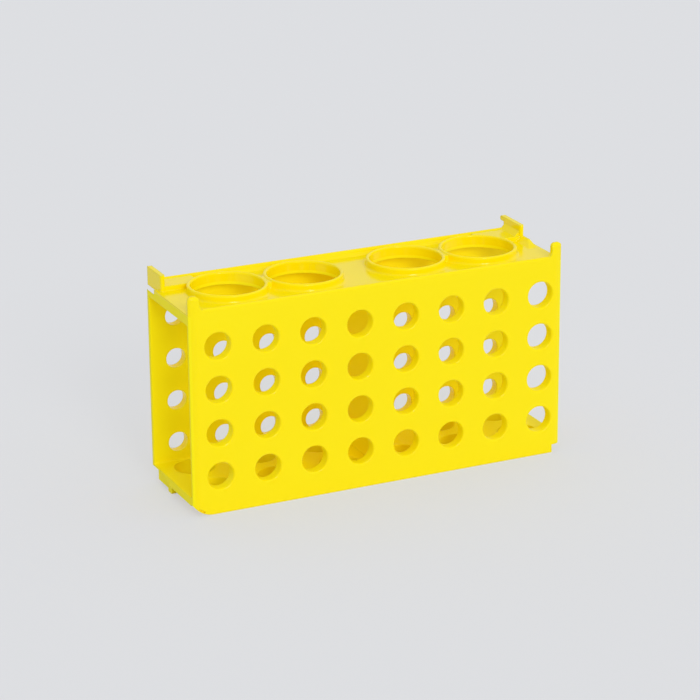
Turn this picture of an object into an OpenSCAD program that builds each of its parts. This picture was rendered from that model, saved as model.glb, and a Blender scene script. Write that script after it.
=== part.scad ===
// Four-way microcentrifuge tube rack.
//
// One polypropylene moulding, open at both ends. Each of its four long sides
// holds one size of tube, and the rack is turned over to bring a side on top:
// large conical tubes in the deck, medium ones in the floor, microtubes in the
// front panel and the smallest tubes in the back panel.
//
// X runs along the rack, Y from front to back, Z up. The rack stands on Z = 0.

/* [Overall] */
// Length of all four sides
rack_length = 173.4; // [168:0.2:190]
// Front face to back face
rack_depth = 46.6; // [46:0.2:56]
// Top edge of the front panel
front_height = 90.6; // [89:0.2:100]
// How far the back panel stands above the front one
back_rise = 0.8; // [0:0.1:2]

/* [Walls] */
// Thickness of the front panel
front_wall = 2.0; // [1.6:0.1:2.6]
// Thickness of the back panel
back_wall = 1.8; // [1.4:0.1:2.4]
// Thickness of the top deck
deck_wall = 2.0; // [1.6:0.1:2.6]
// Thickness of the floor
floor_wall = 2.0; // [1.6:0.1:2.6]
// Thickness of the wall across the middle
middle_wall = 1.8; // [1.2:0.1:2.6]
// Depth of the deck below the front panel's edge
deck_recess = 1.8; // [1:0.1:2.4]
// Height of the floor's upper face
floor_level = 8.2; // [7:0.1:9]
// Radius where the deck meets the back panel
back_cove = 2.0; // [0.6:0.1:2.4]
// Radius of the other inside corners
inside_radius = 0.8; // [0.4:0.1:1.2]

/* [Panel ends] */
// Thickness of the lips under the ends of the deck and the floor
lip_wall = 1.8; // [1.4:0.1:2.4]
// Width of the curve along the front panel's upright edges
edge_curve_width = 3.6; // [1:0.1:4]
// Radius of that curve
edge_curve_radius = 7.0; // [6:0.1:10]
// Height of the lip under each end of the deck
deck_lip = 4.6; // [3:0.1:5]
// Height of the lip under each end of the floor
floor_lip = 3.7; // [3:0.1:4.5]
// Radius of the front panel's lower left corner
corner_sweep = 12; // [8:0.5:14]

/* [Microtube holes, front] */
// Bore
micro_bore = 11.6; // [10.4:0.1:12.2]
// Wall of the collar behind each hole
micro_collar_wall = 1.1; // [0.8:0.1:1.4]
// Length of the bore from the front face
micro_length = 4.8; // [4.4:0.1:6]
// Rounding of each mouth
mouth_radius = 0.8; // [0.4:0.1:1.2]
// The front pattern's place along the rack
micro_shift = 1.2; // [-1.4:0.1:1.4]

/* [Small tube holes, back] */
// Bore
small_bore = 8.8; // [7.6:0.1:9.6]
// Wall of the collar around each hole
small_collar_wall = 1.0; // [0.8:0.1:1.4]
// How far the collars stand out behind
small_rise = 2.8; // [1:0.1:3]

/* [Hole pattern, front and back] */
// Holes along the rack
columns = 8; // [6:1:8]
// Holes up the rack
rows = 4; // [3:1:4]
// Spacing along the rack
column_pitch = 21.5; // [20:0.1:22]
// Spacing up the rack
row_pitch = 19.06; // [17.5:0.02:19.2]
// Height of the lowest row
lowest_row = 16.8; // [16.2:0.1:17.2]

/* [Large tube collars, top] */
// Bore
large_bore = 31.1; // [29:0.1:31.5]
// Wall of the collar
large_collar_wall = 1.5; // [1.3:0.1:1.8]
// Height of the collar's rim above the front panel's edge
large_rise = 1.7; // [1:0.1:4]
// Spacing of the two collars of a pair
large_pitch = 34.8; // [34.4:0.1:35.6]
// Spacing of the two pairs
pair_pitch = 82.8; // [80:0.2:86]
// The top pattern's place along the rack
large_shift = -1.0; // [-1.4:0.1:1.4]
// Height of the sweep at the foot of each collar
collar_cove = 1.0; // [0.6:0.1:1.5]
// Length of the web that joins the two collars of a pair
web_length = 9.0; // [7:0.5:11]

/* [Medium tube holes, floor] */
// Bore
medium_bore = 17.5; // [15:0.1:18.5]
// Wall of the collar
medium_collar_wall = 1.0; // [0.8:0.1:1.2]
// Holes along the floor
medium_columns = 6; // [4:2:6]
// Spacing along the floor
medium_pitch = 28.8; // [26:0.1:29]
// Spacing of the two rows
medium_row_pitch = 23.4; // [22:0.1:24]
// Height of the collars' lower ends
medium_foot = 0.6; // [0.2:0.1:2]

/* [Ears and hooks] */
// Width of the ears on the front panel's upper corners
ear_width = 4.8; // [4:0.1:6]
// Height of the ears above the front panel's edge
ear_rise = 5.8; // [4:0.1:7]
// Rounding of the ears
ear_radius = 1.7; // [0.8:0.1:1.9]
// Radius between an ear and the panel's edge
ear_cove = 3.4; // [1:0.1:4]
// How far the hook and the catch stand out behind the back panel
hook_reach = 3.2; // [3:0.1:5]
// Length of the hook from front to back
hook_length = 18.5; // [16:0.1:22]
// Length of the catch from front to back
catch_length = 15.5; // [13:0.1:18]
// Height of the hook and the catch above the front panel's edge
hook_rise = 5.3; // [4.5:0.1:7]
// Thickness of the hook, the catch and the feet
hook_wall = 2.1; // [1.6:0.1:2.6]
// Distance from the rack's end to the outside of the hook
hook_inset = 1.55; // [1:0.05:2]
// Height of the hook's nose
nose_height = 2.1; // [2:0.1:3]
// Length of the ramp in front of the hook
ramp_length = 12.8; // [9:0.1:15]
// Height of the two shelves between the collars and the ends, above the deck
shelf_rise = 2.1; // [1:0.1:2.4]
// Height of the slope between the hook and its shelf
hook_slope = 2.2; // [1:0.1:2.4]
// Length of the slot under the free end of the catch
slot_length = 8.0; // [5:0.1:10]
// Length of each foot under the floor
foot_length = 15.3; // [13:0.1:18]
// Length of the heel, the deeper front part of each foot
heel_length = 4.4; // [3:0.1:6]
// Height of the rest of the foot above the table
foot_clear = 1.5; // [0.8:0.1:2]

/* [Corner notches] */
// Width of the notches in the back panel
back_notch_width = 4.8; // [4.5:0.1:6]
// Width of the notch in the front panel's lower right corner
front_notch_width = 3.5; // [2.6:0.1:4]
// Height of the notch in the front panel
front_notch_height = 3.8; // [3:0.1:4.2]

/* [Hidden] */
$fn = 64;
bit = 0.01;
front = -(rack_depth + hook_reach) / 2;
back = front + rack_depth;
middle_y = (front + back) / 2;
half = rack_length / 2;
back_height = front_height + back_rise;
deck_level = front_height - deck_recess;
deck_under = deck_level - deck_wall;
floor_under = floor_level - floor_wall;
hook_outer = half - hook_inset;
hook_back = back + hook_reach;
hook_front = hook_back - hook_length;
catch_front = hook_back - catch_length;
hook_top = front_height + hook_rise;
collar_top = front_height + large_rise;
web_drop = 0.6;
foot_round = 0.5;
slot_top = deck_level - 1.0;
slot_bottom = deck_level - 1.9;
foot_back = back - back_wall - 0.9;
heel_front = foot_back - foot_length;

// An upright panel in section. Its top edge is fully rounded and its bottom
// edge keeps a flat to stand on.
module panel(y, thickness, top) {
    translate([y, foot_round])
        square([thickness, top - foot_round - thickness / 2]);
    translate([y + foot_round, 0])
        square([thickness - 2 * foot_round, foot_round]);
    for (side = [foot_round, thickness - foot_round])
        translate([y + side, foot_round])
            circle(foot_round);
    translate([y + thickness / 2, top - thickness / 2])
        circle(d = thickness);
}

// The fillet of an inside corner, in section. It grows from the corner
// towards (side_y, side_z).
module cove(y, z, radius, side_y, side_z) {
    translate([y, z])
        mirror([side_y < 0 ? 1 : 0, 0])
            mirror([0, side_z < 0 ? 1 : 0])
                difference() {
                    translate([-bit, -bit])
                        square(radius + bit);
                    translate([radius, radius])
                        circle(radius);
                }
}

// Runs a section in Y and Z along the whole rack.
module along_rack() {
    rotate([90, 0, 90])
        linear_extrude(rack_length, center = true)
            children();
}

// The four sides, drawn as one continuous section.
module sides() {
    along_rack() {
        panel(front, front_wall, front_height);
        panel(back - back_wall, back_wall, back_height);
        translate([front + front_wall / 2, deck_under])
            square([rack_depth - (front_wall + back_wall) / 2, deck_wall]);
        translate([front + front_wall / 2, floor_under])
            square([rack_depth - (front_wall + back_wall) / 2, floor_wall]);
        cove(back - back_wall, deck_level, back_cove, -1, 1);
        cove(back - back_wall, deck_under, inside_radius, -1, -1);
        cove(back - back_wall, floor_level, inside_radius, -1, 1);
        cove(front + front_wall, deck_level, inside_radius, 1, 1);
        cove(front + front_wall, deck_under, inside_radius, 1, -1);
        cove(front + front_wall, floor_level, inside_radius, 1, 1);
    }
}

// The wall across the middle, which keeps the four sides square.
module middle() {
    translate([-middle_wall / 2, front + front_wall / 2, floor_level - floor_wall / 2])
        cube([middle_wall, rack_depth - (front_wall + back_wall) / 2,
              deck_level - floor_level]);
}

// Draws its children at both ends, the second a mirror image.
module both_ends() {
    children();
    mirror([1, 0, 0])
        children();
}

// The ear on the right end of the front panel, with a round front edge.
module ear() {
    ear_top = front_height + ear_rise;
    foot = deck_level;
    intersection() {
        translate([half - ear_width, front + front_wall, 0])
            rotate([90, 0, 0])
                linear_extrude(front_wall) {
                    translate([0, foot])
                        square([ear_width, ear_top - ear_radius - foot]);
                    translate([ear_radius, foot])
                        square([ear_width - 2 * ear_radius, ear_top - foot]);
                    for (x = [ear_radius, ear_width - ear_radius])
                        translate([x, ear_top - ear_radius])
                            circle(ear_radius);
                }
        along_rack() {
            translate([front, foot])
                square([front_wall, ear_top - front_wall - foot]);
            translate([front + front_wall, ear_top - front_wall])
                circle(front_wall);
        }
    }
    translate([half - ear_width, front + front_wall, 0])
        rotate([90, 0, 0])
            linear_extrude(front_wall)
                cove(0, front_height - front_wall / 2, ear_cove, -1, 1);
}

// The lips that stiffen the right end of the deck and of the floor.
module end_lips() {
    inside = rack_depth - (front_wall + back_wall) / 2;
    translate([half - lip_wall, front + front_wall / 2, deck_level - deck_lip])
        cube([lip_wall, inside, deck_lip - deck_wall / 2]);
    translate([half - lip_wall, front + front_wall / 2, floor_level - floor_lip])
        cube([lip_wall, heel_front - front - front_wall / 2, floor_lip - floor_wall / 2]);
}

// Gives an outline in Y and Z the thickness of the hook, outside flush with
// the given place along the rack.
module plate(outside) {
    translate([outside, 0, 0])
        rotate([90, 0, 90])
            linear_extrude(hook_wall)
                children();
}

// A plate that stands on the deck, with its upright front edge rounded.
module upright(outside, edge) {
    intersection() {
        plate(outside)
            children();
        linear_extrude(hook_top + 1) {
            translate([outside + hook_wall / 2, edge + hook_wall / 2])
                circle(d = hook_wall);
            translate([outside, edge + hook_wall / 2])
                square([hook_wall, hook_back - edge]);
        }
    }
}

// The hook at the right end. Its nose reaches over the back panel.
module hook() {
    nose_round = 0.95;
    nose_bottom = hook_top - nose_height;
    upright(hook_outer - hook_wall, hook_front) {
        translate([hook_front, deck_under])
            square([back - hook_front, nose_bottom - deck_under + bit]);
        translate([hook_front, nose_bottom])
            square([hook_length - nose_round, nose_height]);
        translate([hook_back - nose_round - bit, nose_bottom + nose_round])
            square([nose_round + bit, nose_height - 2 * nose_round]);
        for (z = [nose_bottom + nose_round, hook_top - nose_round])
            translate([hook_back - nose_round, z])
                circle(nose_round);
    }
}

// The catch at the left end: a square plate whose back half stands free over
// a slot.
module catch() {
    upright(-hook_outer, catch_front)
        translate([catch_front, slot_top])
            square([catch_length, hook_top - slot_top]);
}

// A shelf in the back corner of the deck, level with the back panel's edge,
// from an end collar out to the middle of the hook or the catch.
module shelf(edge, collar_side) {
    reach = hook_outer - hook_wall / 2;
    collar_x = (pair_pitch + large_pitch) / 2 + collar_side * large_shift + large_bore / 4;
    face = edge + hook_wall / 4;
    translate([collar_x, face, deck_level - deck_wall / 2])
        cube([reach - collar_x, back - back_wall / 2 - face, shelf_rise + deck_wall / 2]);
}

// The slope that props the hook from its shelf.
module hook_prop() {
    face = hook_outer - hook_wall;
    shelf_top = deck_level + shelf_rise;
    edge = hook_front + hook_wall / 2;
    translate([0, back - back_wall / 2, 0])
        rotate([90, 0, 0])
            linear_extrude(back - back_wall / 2 - edge)
                polygon([[face - hook_slope, shelf_top - bit], [face - hook_slope, deck_level],
                         [face + bit, deck_level], [face + bit, shelf_top + hook_slope]]);
}

// The ramp along the deck's end, up to the hook and down onto the deck.
module ramp() {
    flat_length = 5;
    ramp_width = 4.5;
    rim = 0.8;
    sunk = 0.3;
    ramp_back = hook_front + hook_wall;
    hull() {
        translate([hook_outer - rim, 0, 0])
            rotate([90, 0, 90])
                linear_extrude(rim)
                    polygon([[ramp_back, deck_level - 1],
                             [ramp_back, deck_level + shelf_rise],
                             [hook_front - flat_length, deck_level + shelf_rise],
                             [hook_front - ramp_length, deck_level - sunk],
                             [hook_front - ramp_length, deck_level - 1]]);
        translate([hook_outer - ramp_width, hook_front - ramp_length, deck_level - 1])
            cube([ramp_width - rim, ramp_back - hook_front + ramp_length, 1 - sunk]);
    }
}

// The foot under the right end of the floor, with its heel at the front.
module foot() {
    heel_round = 0.8;
    floor_middle = floor_level - floor_wall / 2;
    plate(hook_outer - hook_wall) {
        translate([heel_front, foot_clear])
            square([foot_length, floor_middle - foot_clear]);
        translate([heel_front, heel_round])
            square([heel_length, foot_clear]);
        translate([heel_front + heel_round, 0])
            square([heel_length - 2 * heel_round, foot_clear]);
        for (y = [heel_front + heel_round, heel_front + heel_length - heel_round])
            translate([y, heel_round])
                circle(heel_round);
    }
}

// A collar on the Z axis, from the plane of its foot, with a rounded rim.
module collar(bore, wall, height) {
    rotate_extrude() {
        translate([bore / 2, 0])
            square([wall, height - wall / 2]);
        translate([bore / 2 + wall / 2, height - wall / 2])
            circle(d = wall);
    }
}

// The rounded mouth of a bore, cut into a face at Z = 0 from above.
module mouth(bore) {
    rotate_extrude()
        difference() {
            translate([0, -mouth_radius])
                square([bore / 2 + mouth_radius, mouth_radius + 1]);
            translate([bore / 2 + mouth_radius, -mouth_radius])
                circle(mouth_radius);
        }
}

// Puts a child on every place of the front or back pattern.
module at_small_places(shift) {
    for (column = [0 : columns - 1], row = [0 : rows - 1])
        translate([shift + (column - (columns - 1) / 2) * column_pitch, 0,
                   lowest_row + row * row_pitch])
            children();
}

// Puts a child on each of the four places in the deck.
module at_large_places() {
    for (pair = [-1, 1], side = [-1, 1])
        translate([large_shift + pair * pair_pitch / 2 + side * large_pitch / 2, middle_y, 0])
            children();
}

// Puts a child on every place in the floor.
module at_medium_places() {
    for (column = [0 : medium_columns - 1], row = [-1, 1])
        translate([(column - (medium_columns - 1) / 2) * medium_pitch,
                   middle_y + row * medium_row_pitch / 2, 0])
            children();
}

// The collars behind the front panel.
module micro_collars() {
    at_small_places(micro_shift)
        translate([0, front + front_wall / 2, 0])
            rotate([-90, 0, 0])
                cylinder(d = micro_bore + 2 * micro_collar_wall,
                         h = micro_length - front_wall / 2);
}

module micro_holes() {
    at_small_places(micro_shift)
        translate([0, front, 0])
            rotate([90, 0, 0]) {
                translate([0, 0, -micro_length - 1])
                    cylinder(d = micro_bore, h = micro_length + 2);
                mouth(micro_bore);
            }
}

// The collars that stand out behind the back panel, with a bevelled rim.
module small_collars() {
    bevel = 0.35;
    outside = small_bore + 2 * small_collar_wall;
    straight = back_wall / 2 + small_rise - bevel;
    at_small_places(0)
        translate([0, back - back_wall / 2, 0])
            rotate([-90, 0, 0]) {
                cylinder(d = outside, h = straight);
                translate([0, 0, straight])
                    cylinder(d1 = outside, d2 = outside - 2 * bevel, h = bevel);
            }
}

module small_holes() {
    at_small_places(0)
        translate([0, back - back_wall - 1, 0])
            rotate([-90, 0, 0])
                cylinder(d = small_bore, h = back_wall + small_rise + 2);
}

// The collars on the deck, each with a sweep around its foot.
module large_collars() {
    foot = large_bore / 2 + large_collar_wall;
    near = 0.3 * collar_cove;
    at_large_places() {
        translate([0, 0, deck_level - deck_wall / 2])
            collar(large_bore, large_collar_wall, collar_top - deck_level + deck_wall / 2);
        translate([0, 0, deck_level])
            rotate_extrude()
                polygon([[foot - 0.3, -0.3], [foot + collar_cove + 0.7, -0.3],
                         [foot + near, near], [foot - 0.3, collar_cove + 0.7]]);
    }
    for (pair = [-1, 1])
        translate([large_shift + pair * pair_pitch / 2, middle_y,
                   (deck_level - deck_wall / 2 + collar_top - web_drop) / 2])
            cube([large_pitch - large_bore - 1, web_length,
                  collar_top - web_drop - deck_level + deck_wall / 2], center = true);
}

module large_holes() {
    at_large_places()
        translate([0, 0, deck_under - 1])
            cylinder(d = large_bore, h = collar_top - deck_under + 2);
}

// The collars under the floor.
module medium_collars() {
    at_medium_places()
        translate([0, 0, medium_foot])
            cylinder(d = medium_bore + 2 * medium_collar_wall,
                     h = floor_level - floor_wall / 2 - medium_foot);
}

module medium_holes() {
    at_medium_places()
        translate([0, 0, medium_foot - 1])
            cylinder(d = medium_bore, h = floor_level - medium_foot + 2);
}

// The long curve along the right upright edge of the front panel.
module edge_curve() {
    difference() {
        translate([half - edge_curve_width, front - 1, -1])
            cube([edge_curve_width + 1, edge_curve_radius, hook_top + 4]);
        translate([half - edge_curve_width, front + edge_curve_radius, -2])
            cylinder(r = edge_curve_radius, h = hook_top + 6, $fn = 128);
    }
}

// The notch in the lower right corner of the front panel.
module lower_right_notch() {
    translate([half - front_notch_width, front - 1, -1])
        cube([front_notch_width + 1, front_wall + 2, front_notch_height + 1]);
}

// The swept lower left corner of the front panel, with the short groove that
// runs beside its edge.
module lower_left_sweep() {
    groove_radius = corner_sweep - 0.7;
    translate([-half + corner_sweep - 2.2, front, corner_sweep])
        rotate([-90, 0, 0]) {
            difference() {
                translate([-corner_sweep - 1, 0, -1])
                    cube([corner_sweep + 1, corner_sweep + 1, front_wall + 2]);
                translate([0, 0, -2])
                    cylinder(r = corner_sweep, h = front_wall + 4, $fn = 128);
            }
            rotate([0, 0, 122])
                translate([groove_radius - 0.35, -1.5, -1])
                    cube([0.7, 3, 2.2]);
        }
}

// The notch in the lower right corner of the back panel, and the undercut
// that thins the floor's edge next to it.
module lower_back_notch() {
    edge = 0.7;
    translate([half - back_notch_width, back - back_wall - bit, -1])
        cube([back_notch_width + 1, back_wall + 1, floor_level - edge + 1]);
    translate([0, back + 1, 0])
        rotate([90, 0, 0])
            linear_extrude(back + 1 - heel_front - heel_length)
                polygon([[half + 1, floor_level - edge], [half, floor_level - edge],
                         [half - floor_wall + edge, floor_under],
                         [half - floor_wall + edge, floor_under - 1],
                         [half + 1, floor_under - 1]]);
}

// The opening at the upper right corner of the back panel. It runs into the
// deck as a slot whose floor slopes down and in.
module upper_back_notch() {
    slope = 3.2;
    translate([0, back + 1, 0])
        rotate([90, 0, 0])
            linear_extrude(slot_length + 1)
                polygon([[half + 1, slot_bottom], [half, slot_bottom],
                         [half - slope, slot_bottom - slope],
                         [half - back_notch_width, slot_bottom - slope],
                         [half - back_notch_width, hook_top],
                         [half + 1, hook_top]]);
}

// The rack, a single moulding.
module rack() {
    color("gold")
        difference() {
            union() {
                difference() {
                    union() {
                        sides();
                        both_ends() {
                            ear();
                            end_lips();
                        }
                    }
                    both_ends() {
                        edge_curve();
                        lower_back_notch();
                        upper_back_notch();
                    }
                    lower_right_notch();
                    lower_left_sweep();
                }
                middle();
                hook();
                hook_prop();
                shelf(hook_front, 1);
                ramp();
                catch();
                mirror([1, 0, 0])
                    shelf(catch_front, -1);
                both_ends()
                    foot();
                micro_collars();
                small_collars();
                large_collars();
                medium_collars();
            }
            micro_holes();
            small_holes();
            large_holes();
            medium_holes();
        }
}

rack();
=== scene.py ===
import math

import bpy
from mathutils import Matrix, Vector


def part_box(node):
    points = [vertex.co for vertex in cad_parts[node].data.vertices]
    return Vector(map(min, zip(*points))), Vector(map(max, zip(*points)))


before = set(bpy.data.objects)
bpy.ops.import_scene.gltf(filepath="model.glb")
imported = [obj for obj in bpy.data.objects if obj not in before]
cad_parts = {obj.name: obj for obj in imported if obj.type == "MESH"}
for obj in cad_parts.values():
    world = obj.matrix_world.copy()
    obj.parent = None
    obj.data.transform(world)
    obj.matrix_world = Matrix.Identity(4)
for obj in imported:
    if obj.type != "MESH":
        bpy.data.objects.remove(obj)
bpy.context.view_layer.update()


# The rack
#
# One injection moulding in bright yellow polypropylene: four long sides with
# tube holes, a wall across the middle, and hooks and feet at its open ends.
# The steel mould's polish gives it its gloss, with a faint flow in the colour.

# Fine waviness of a moulded skin: a slow flow along the panels, and a grain.
flow_stretch = (0.45, 1.0, 1.0)
grain_share_of_relief = 0.12
moulded_skin = bpy.data.node_groups.new("moulded_skin", "ShaderNodeTree")
moulded_skin.interface.new_socket("Flow Scale", in_out="INPUT", socket_type="NodeSocketFloat")
moulded_skin.interface.new_socket("Grain Scale", in_out="INPUT", socket_type="NodeSocketFloat")
moulded_skin.interface.new_socket("Flow", in_out="OUTPUT", socket_type="NodeSocketFloat")
moulded_skin.interface.new_socket("Grain", in_out="OUTPUT", socket_type="NodeSocketFloat")
moulded_skin.interface.new_socket("Height", in_out="OUTPUT", socket_type="NodeSocketFloat")
skin_in = moulded_skin.nodes.new("NodeGroupInput")
skin_out = moulded_skin.nodes.new("NodeGroupOutput")
skin_place = moulded_skin.nodes.new("ShaderNodeTexCoord")
skin_flow = moulded_skin.nodes.new("ShaderNodeTexNoise")
skin_flow.inputs["Detail"].default_value = 2.0
skin_flow.inputs["Distortion"].default_value = 0.6
skin_grain = moulded_skin.nodes.new("ShaderNodeTexNoise")
skin_grain.inputs["Detail"].default_value = 3.0
skin_stretch = moulded_skin.nodes.new("ShaderNodeMapping")
skin_stretch.inputs["Scale"].default_value = flow_stretch
skin_relief = moulded_skin.nodes.new("ShaderNodeMath")
skin_relief.operation = "MULTIPLY_ADD"
skin_relief.inputs[1].default_value = grain_share_of_relief
moulded_skin.links.new(skin_place.outputs["Object"], skin_stretch.inputs["Vector"])
moulded_skin.links.new(skin_stretch.outputs["Vector"], skin_flow.inputs["Vector"])
moulded_skin.links.new(skin_in.outputs["Flow Scale"], skin_flow.inputs["Scale"])
moulded_skin.links.new(skin_place.outputs["Object"], skin_grain.inputs["Vector"])
moulded_skin.links.new(skin_in.outputs["Grain Scale"], skin_grain.inputs["Scale"])
moulded_skin.links.new(skin_grain.outputs["Fac"], skin_relief.inputs[0])
moulded_skin.links.new(skin_flow.outputs["Fac"], skin_relief.inputs[2])
moulded_skin.links.new(skin_flow.outputs["Fac"], skin_out.inputs["Flow"])
moulded_skin.links.new(skin_grain.outputs["Fac"], skin_out.inputs["Grain"])
moulded_skin.links.new(skin_relief.outputs["Value"], skin_out.inputs["Height"])

# Edges, for a painted highlight: 1 along an outside edge of the moulding, 0 on its faces. The
# group also gives the rounded normal of those edges.
edge_starts_at_cosine = 0.995
edge_is_full_at_cosine = 0.88
edge_highlight_and_round = bpy.data.node_groups.new("edge_highlight_and_round", "ShaderNodeTree")
edge_highlight_and_round.interface.new_socket("Reach", in_out="INPUT", socket_type="NodeSocketFloat")
edge_highlight_and_round.interface.new_socket("Breakup", in_out="INPUT", socket_type="NodeSocketFloat")
edge_highlight_and_round.interface.new_socket("Edge", in_out="OUTPUT", socket_type="NodeSocketFloat")
edge_highlight_and_round.interface.new_socket("Normal", in_out="OUTPUT", socket_type="NodeSocketVector")
edge_in = edge_highlight_and_round.nodes.new("NodeGroupInput")
edge_out = edge_highlight_and_round.nodes.new("NodeGroupOutput")
edge_face = edge_highlight_and_round.nodes.new("ShaderNodeNewGeometry")
edge_round = edge_highlight_and_round.nodes.new("ShaderNodeBevel")
edge_round.samples = 8
edge_turn = edge_highlight_and_round.nodes.new("ShaderNodeVectorMath")
edge_turn.operation = "DOT_PRODUCT"
edge_mask = edge_highlight_and_round.nodes.new("ShaderNodeMapRange")
edge_mask.inputs["From Min"].default_value = edge_starts_at_cosine
edge_mask.inputs["From Max"].default_value = edge_is_full_at_cosine
edge_break = edge_highlight_and_round.nodes.new("ShaderNodeMath")
edge_break.operation = "MULTIPLY"
edge_highlight_and_round.links.new(edge_in.outputs["Reach"], edge_round.inputs["Radius"])
edge_highlight_and_round.links.new(edge_round.outputs["Normal"], edge_turn.inputs[0])
edge_highlight_and_round.links.new(edge_face.outputs["Normal"], edge_turn.inputs[1])
edge_highlight_and_round.links.new(edge_turn.outputs["Value"], edge_mask.inputs["Value"])
edge_highlight_and_round.links.new(edge_mask.outputs["Result"], edge_break.inputs[0])
edge_highlight_and_round.links.new(edge_in.outputs["Breakup"], edge_break.inputs[1])
edge_highlight_and_round.links.new(edge_break.outputs["Value"], edge_out.inputs["Edge"])
edge_highlight_and_round.links.new(edge_round.outputs["Normal"], edge_out.inputs["Normal"])

# The core side of the moulding: 1 on all that lies between the outer faces of the front, the
# back and the deck, such as the bays, the holes and the floor, and 0 on those faces and beyond.
core_side = bpy.data.node_groups.new("core_side", "ShaderNodeTree")
core_side.interface.new_socket("Core", in_out="OUTPUT", socket_type="NodeSocketFloat")
core_out = core_side.nodes.new("NodeGroupOutput")
core_place = core_side.nodes.new("ShaderNodeTexCoord")
core_split = core_side.nodes.new("ShaderNodeSeparateXYZ")
core_side.links.new(core_place.outputs["Object"], core_split.inputs["Vector"])
rack_low, rack_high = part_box("rack")
hook_reach = 0.0032  # from the hook's back edge in to the back's outer face
deck_drop = 0.0076  # from the ears' tops down to the deck's outer face
skin_depth = 0.0003
skin_blend = 0.0006
core_masks = []
for axis_name, outside_face, inward in (
    ("Y", rack_low[1], 1),
    ("Y", rack_high[1] - hook_reach, -1),
    ("Z", rack_high[2] - deck_drop, -1),
):
    core_mask = core_side.nodes.new("ShaderNodeMapRange")
    core_mask.inputs["From Min"].default_value = outside_face + inward * skin_depth
    core_mask.inputs["From Max"].default_value = (
        outside_face + inward * (skin_depth + skin_blend)
    )
    core_side.links.new(core_split.outputs[axis_name], core_mask.inputs["Value"])
    core_masks.append(core_mask)
core_sides = core_side.nodes.new("ShaderNodeMath")
core_sides.operation = "MULTIPLY"
core_all = core_side.nodes.new("ShaderNodeMath")
core_all.operation = "MULTIPLY"
core_side.links.new(core_masks[0].outputs["Result"], core_sides.inputs[0])
core_side.links.new(core_masks[1].outputs["Result"], core_sides.inputs[1])
core_side.links.new(core_sides.outputs["Value"], core_all.inputs[0])
core_side.links.new(core_masks[2].outputs["Result"], core_all.inputs[1])
core_side.links.new(core_all.outputs["Value"], core_out.inputs["Core"])

# Yellow polypropylene: polished outside and matt on the core side. A brighter yellow on the core
# side is painted light for the lit bays, and a paler yellow along its edges is a painted
# highlight.
yellow_low_flow = (0.998, 0.805, 0.0010, 1.0)
yellow_high_flow = (0.999, 0.825, 0.0020, 1.0)
# Painted light: the core side is painted a brighter, greener yellow for the light that reaches
# the bays.
yellow_core_painted_light = (0.999, 0.89, 0.0010, 1.0)
# Painted highlight: a paler yellow painted along the outside edges.
yellow_painted_edge_highlight = (0.998, 0.93, 0.03, 1.0)
polish_low_flow = 0.12
polish_high_flow = 0.18
polish_inside = 0.55
flow_patch_scale = 22.0
grain_scale = 1400.0
edge_reach = 0.0006
relief_depth = 0.0004
yellow_plastic = bpy.data.materials.new("yellow_polypropylene")
yellow_plastic.use_nodes = True
plastic = yellow_plastic.node_tree
plastic.nodes.clear()
plastic_out = plastic.nodes.new("ShaderNodeOutputMaterial")
plastic_shader = plastic.nodes.new("ShaderNodeBsdfPrincipled")
plastic_shader.inputs["IOR"].default_value = 1.49
plastic_shader.inputs["Specular IOR Level"].default_value = 0.19
plastic.links.new(plastic_shader.outputs["BSDF"], plastic_out.inputs["Surface"])

plastic_skin = plastic.nodes.new("ShaderNodeGroup")
plastic_skin.node_tree = moulded_skin
plastic_skin.inputs["Flow Scale"].default_value = flow_patch_scale
plastic_skin.inputs["Grain Scale"].default_value = grain_scale
plastic_edge = plastic.nodes.new("ShaderNodeGroup")
plastic_edge.node_tree = edge_highlight_and_round
plastic_edge.inputs["Reach"].default_value = edge_reach
plastic.links.new(plastic_skin.outputs["Grain"], plastic_edge.inputs["Breakup"])

plastic_colour = plastic.nodes.new("ShaderNodeValToRGB")
plastic_colour.color_ramp.elements[0].position = 0.30
plastic_colour.color_ramp.elements[0].color = yellow_low_flow
plastic_colour.color_ramp.elements[1].position = 0.72
plastic_colour.color_ramp.elements[1].color = yellow_high_flow
plastic_core = plastic.nodes.new("ShaderNodeGroup")
plastic_core.node_tree = core_side
plastic_core_painted_light = plastic.nodes.new("ShaderNodeMix")
plastic_core_painted_light.data_type = "RGBA"
plastic_core_painted_light.inputs["B"].default_value = yellow_core_painted_light
plastic.links.new(plastic_core.outputs["Core"], plastic_core_painted_light.inputs["Factor"])
# The painted edge highlight is mixed over the yellow here.
plastic_painted_edge_highlight = plastic.nodes.new("ShaderNodeMix")
plastic_painted_edge_highlight.data_type = "RGBA"
plastic_painted_edge_highlight.inputs["B"].default_value = yellow_painted_edge_highlight
plastic.links.new(plastic_skin.outputs["Flow"], plastic_colour.inputs["Fac"])
plastic.links.new(plastic_colour.outputs["Color"], plastic_core_painted_light.inputs["A"])
plastic.links.new(plastic_core_painted_light.outputs["Result"], plastic_painted_edge_highlight.inputs["A"])
plastic.links.new(plastic_edge.outputs["Edge"], plastic_painted_edge_highlight.inputs["Factor"])
plastic.links.new(plastic_painted_edge_highlight.outputs["Result"], plastic_shader.inputs["Base Color"])

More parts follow.
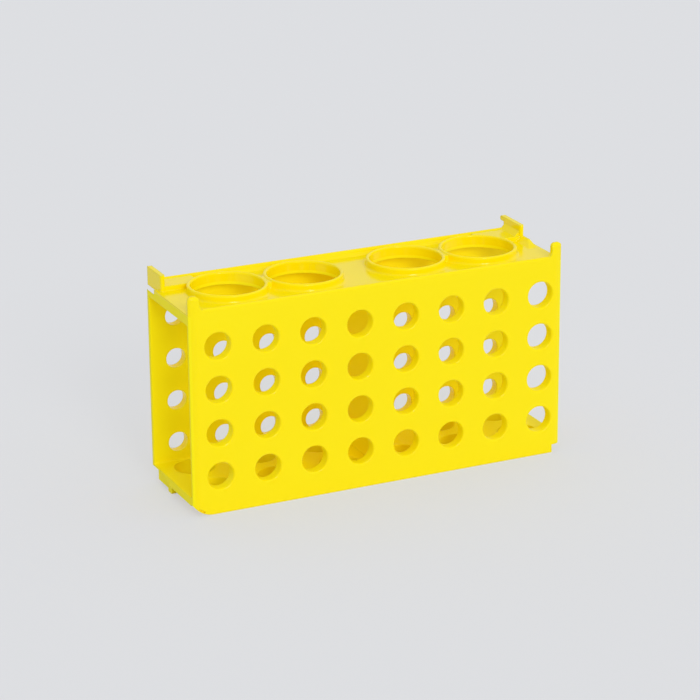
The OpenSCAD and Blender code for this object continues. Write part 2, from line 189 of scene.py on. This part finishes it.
plastic_gloss = plastic.nodes.new("ShaderNodeMapRange")
plastic_gloss.inputs["From Min"].default_value = 0.3
plastic_gloss.inputs["From Max"].default_value = 0.7
plastic_gloss.inputs["To Min"].default_value = polish_low_flow
plastic_gloss.inputs["To Max"].default_value = polish_high_flow
plastic.links.new(plastic_skin.outputs["Flow"], plastic_gloss.inputs["Value"])
plastic_matt = plastic.nodes.new("ShaderNodeMix")
plastic_matt.inputs["B"].default_value = polish_inside
plastic.links.new(plastic_core.outputs["Core"], plastic_matt.inputs["Factor"])
plastic.links.new(plastic_gloss.outputs["Result"], plastic_matt.inputs["A"])
plastic.links.new(plastic_matt.outputs["Result"], plastic_shader.inputs["Roughness"])

plastic_relief = plastic.nodes.new("ShaderNodeBump")
plastic_relief.inputs["Strength"].default_value = 0.25
plastic_relief.inputs["Distance"].default_value = relief_depth
plastic.links.new(plastic_skin.outputs["Height"], plastic_relief.inputs["Height"])
plastic.links.new(plastic_edge.outputs["Normal"], plastic_relief.inputs["Normal"])
plastic.links.new(plastic_relief.outputs["Normal"], plastic_shader.inputs["Normal"])

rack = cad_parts["rack"]
rack.data.materials.clear()
rack.data.materials.append(yellow_plastic)


# The floor
#
# A pale, plain sheet of board. It isn't part of the object, and only holds its
# soft shadow. A share of its tone is unlit where the camera or a reflection sees it.
board_tone = (0.737, 0.747, 0.773)
board_unlit_tone = (0.757, 0.767, 0.793)
board_unlit_share = 0.65
board_half_width = 6.0
board_mesh = bpy.data.meshes.new("floor_board")
board_mesh.from_pydata(
    [
        (-board_half_width, -board_half_width, 0.0),
        (board_half_width, -board_half_width, 0.0),
        (board_half_width, board_half_width, 0.0),
        (-board_half_width, board_half_width, 0.0),
    ],
    [],
    [(0, 1, 2, 3)],
)
floor_board = bpy.data.objects.new("floor_board", board_mesh)
bpy.context.scene.collection.objects.link(floor_board)
board_paint = bpy.data.materials.new("pale_board")
board_paint.use_nodes = True
board = board_paint.node_tree
board.nodes.clear()
board_out = board.nodes.new("ShaderNodeOutputMaterial")
board_matt = board.nodes.new("ShaderNodeBsdfPrincipled")
board_matt.inputs["Roughness"].default_value = 1.0
board_matt.inputs["Specular IOR Level"].default_value = 0.0
board_matt.inputs["Base Color"].default_value = (*board_tone, 1.0)
board_seen = board.nodes.new("ShaderNodeEmission")
board_seen.inputs["Color"].default_value = (*board_unlit_tone, 1.0)
board_path = board.nodes.new("ShaderNodeLightPath")
board_share = board.nodes.new("ShaderNodeMath")
board_share.operation = "MULTIPLY"
board_share.inputs[1].default_value = board_unlit_share
board_mix = board.nodes.new("ShaderNodeMixShader")
board_mirrored = board.nodes.new("ShaderNodeMath")
board_mirrored.operation = "MAXIMUM"
board_through = board.nodes.new("ShaderNodeMath")
board_through.operation = "MAXIMUM"
board.links.new(board_path.outputs["Is Camera Ray"], board_mirrored.inputs[0])
board.links.new(board_path.outputs["Is Glossy Ray"], board_mirrored.inputs[1])
board.links.new(board_mirrored.outputs["Value"], board_through.inputs[0])
board.links.new(board_path.outputs["Is Transmission Ray"], board_through.inputs[1])
board.links.new(board_through.outputs["Value"], board_share.inputs[0])
board.links.new(board_share.outputs["Value"], board_mix.inputs["Fac"])
board.links.new(board_matt.outputs["BSDF"], board_mix.inputs[1])
board.links.new(board_seen.outputs["Emission"], board_mix.inputs[2])
board.links.new(board_mix.outputs["Shader"], board_out.inputs["Surface"])
board_mesh.materials.append(board_paint)


# The light
#
# A white tent, a little dimmer to the left, and one soft light in front, a little to
# the left and above. The camera and reflections see the tent in the floor's tone.
tent_left_strength = 0.56
tent_right_strength = 0.83
front_strength = 0.90
front_spread = math.radians(20)
front_tilt = math.radians(65)
front_turn = math.radians(-4)
front_height = 2.0
tent = bpy.data.worlds.new("tent")
tent.use_nodes = True
tent_tree = tent.node_tree
tent_light = tent_tree.nodes["Background"]
tent_light.inputs["Color"].default_value = (1.0, 1.0, 1.0, 1.0)
tent_way = tent_tree.nodes.new("ShaderNodeTexCoord")
tent_split = tent_tree.nodes.new("ShaderNodeSeparateXYZ")
tent_side = tent_tree.nodes.new("ShaderNodeMapRange")
tent_side.interpolation_type = "SMOOTHSTEP"
tent_side.inputs["From Min"].default_value = -1.0
tent_side.inputs["From Max"].default_value = -0.2
tent_side.inputs["To Min"].default_value = tent_left_strength
tent_side.inputs["To Max"].default_value = tent_right_strength
tent_tree.links.new(tent_way.outputs["Generated"], tent_split.inputs["Vector"])
tent_tree.links.new(tent_split.outputs["X"], tent_side.inputs["Value"])
tent_tree.links.new(tent_side.outputs["Result"], tent_light.inputs["Strength"])
tent_seen = tent_tree.nodes.new("ShaderNodeBackground")
tent_seen.inputs["Color"].default_value = (*board_tone, 1.0)
tent_path = tent_tree.nodes.new("ShaderNodeLightPath")
tent_mix = tent_tree.nodes.new("ShaderNodeMixShader")
tent_mirrored = tent_tree.nodes.new("ShaderNodeMath")
tent_mirrored.operation = "MAXIMUM"
tent_through = tent_tree.nodes.new("ShaderNodeMath")
tent_through.operation = "MAXIMUM"
tent_tree.links.new(tent_path.outputs["Is Camera Ray"], tent_mirrored.inputs[0])
tent_tree.links.new(tent_path.outputs["Is Glossy Ray"], tent_mirrored.inputs[1])
tent_tree.links.new(tent_mirrored.outputs["Value"], tent_through.inputs[0])
tent_tree.links.new(tent_path.outputs["Is Transmission Ray"], tent_through.inputs[1])
tent_tree.links.new(tent_through.outputs["Value"], tent_mix.inputs["Fac"])
tent_tree.links.new(tent_light.outputs["Background"], tent_mix.inputs[1])
tent_tree.links.new(tent_seen.outputs["Background"], tent_mix.inputs[2])
tent_tree.links.new(tent_mix.outputs["Shader"], tent_tree.nodes["World Output"].inputs["Surface"])
bpy.context.scene.world = tent

front_soft = bpy.data.lights.new("front_soft", "SUN")
front_soft.energy = front_strength
front_soft.angle = front_spread
front_lamp = bpy.data.objects.new("front_soft", front_soft)
front_lamp.location = (0.0, 0.0, front_height)
front_lamp.rotation_euler = (front_tilt, 0.0, front_turn)
bpy.context.scene.collection.objects.link(front_lamp)


# The camera
#
# It stands in front and to the left, a little above the rack, with a long lens.
lens = bpy.data.cameras.new("camera")
lens.sensor_fit = "HORIZONTAL"
lens.sensor_width = 36.0
lens.lens = 144.57
lens.clip_start = 0.05
lens.clip_end = 50.0
camera = bpy.data.objects.new("camera", lens)
camera.location = (-0.48534, -1.03316, 0.45311)
camera.rotation_euler = (math.radians(70.685), math.radians(0.429), math.radians(-25.184))
bpy.context.scene.collection.objects.link(camera)
bpy.context.scene.camera = camera
bpy.context.scene.view_settings.view_transform = "Standard"
# Light goes round many times inside so pale a rack, so it gets many diffuse bounces.
diffuse_rounds = 24
bpy.context.scene.cycles.max_bounces = diffuse_rounds + 2
bpy.context.scene.cycles.diffuse_bounces = diffuse_rounds
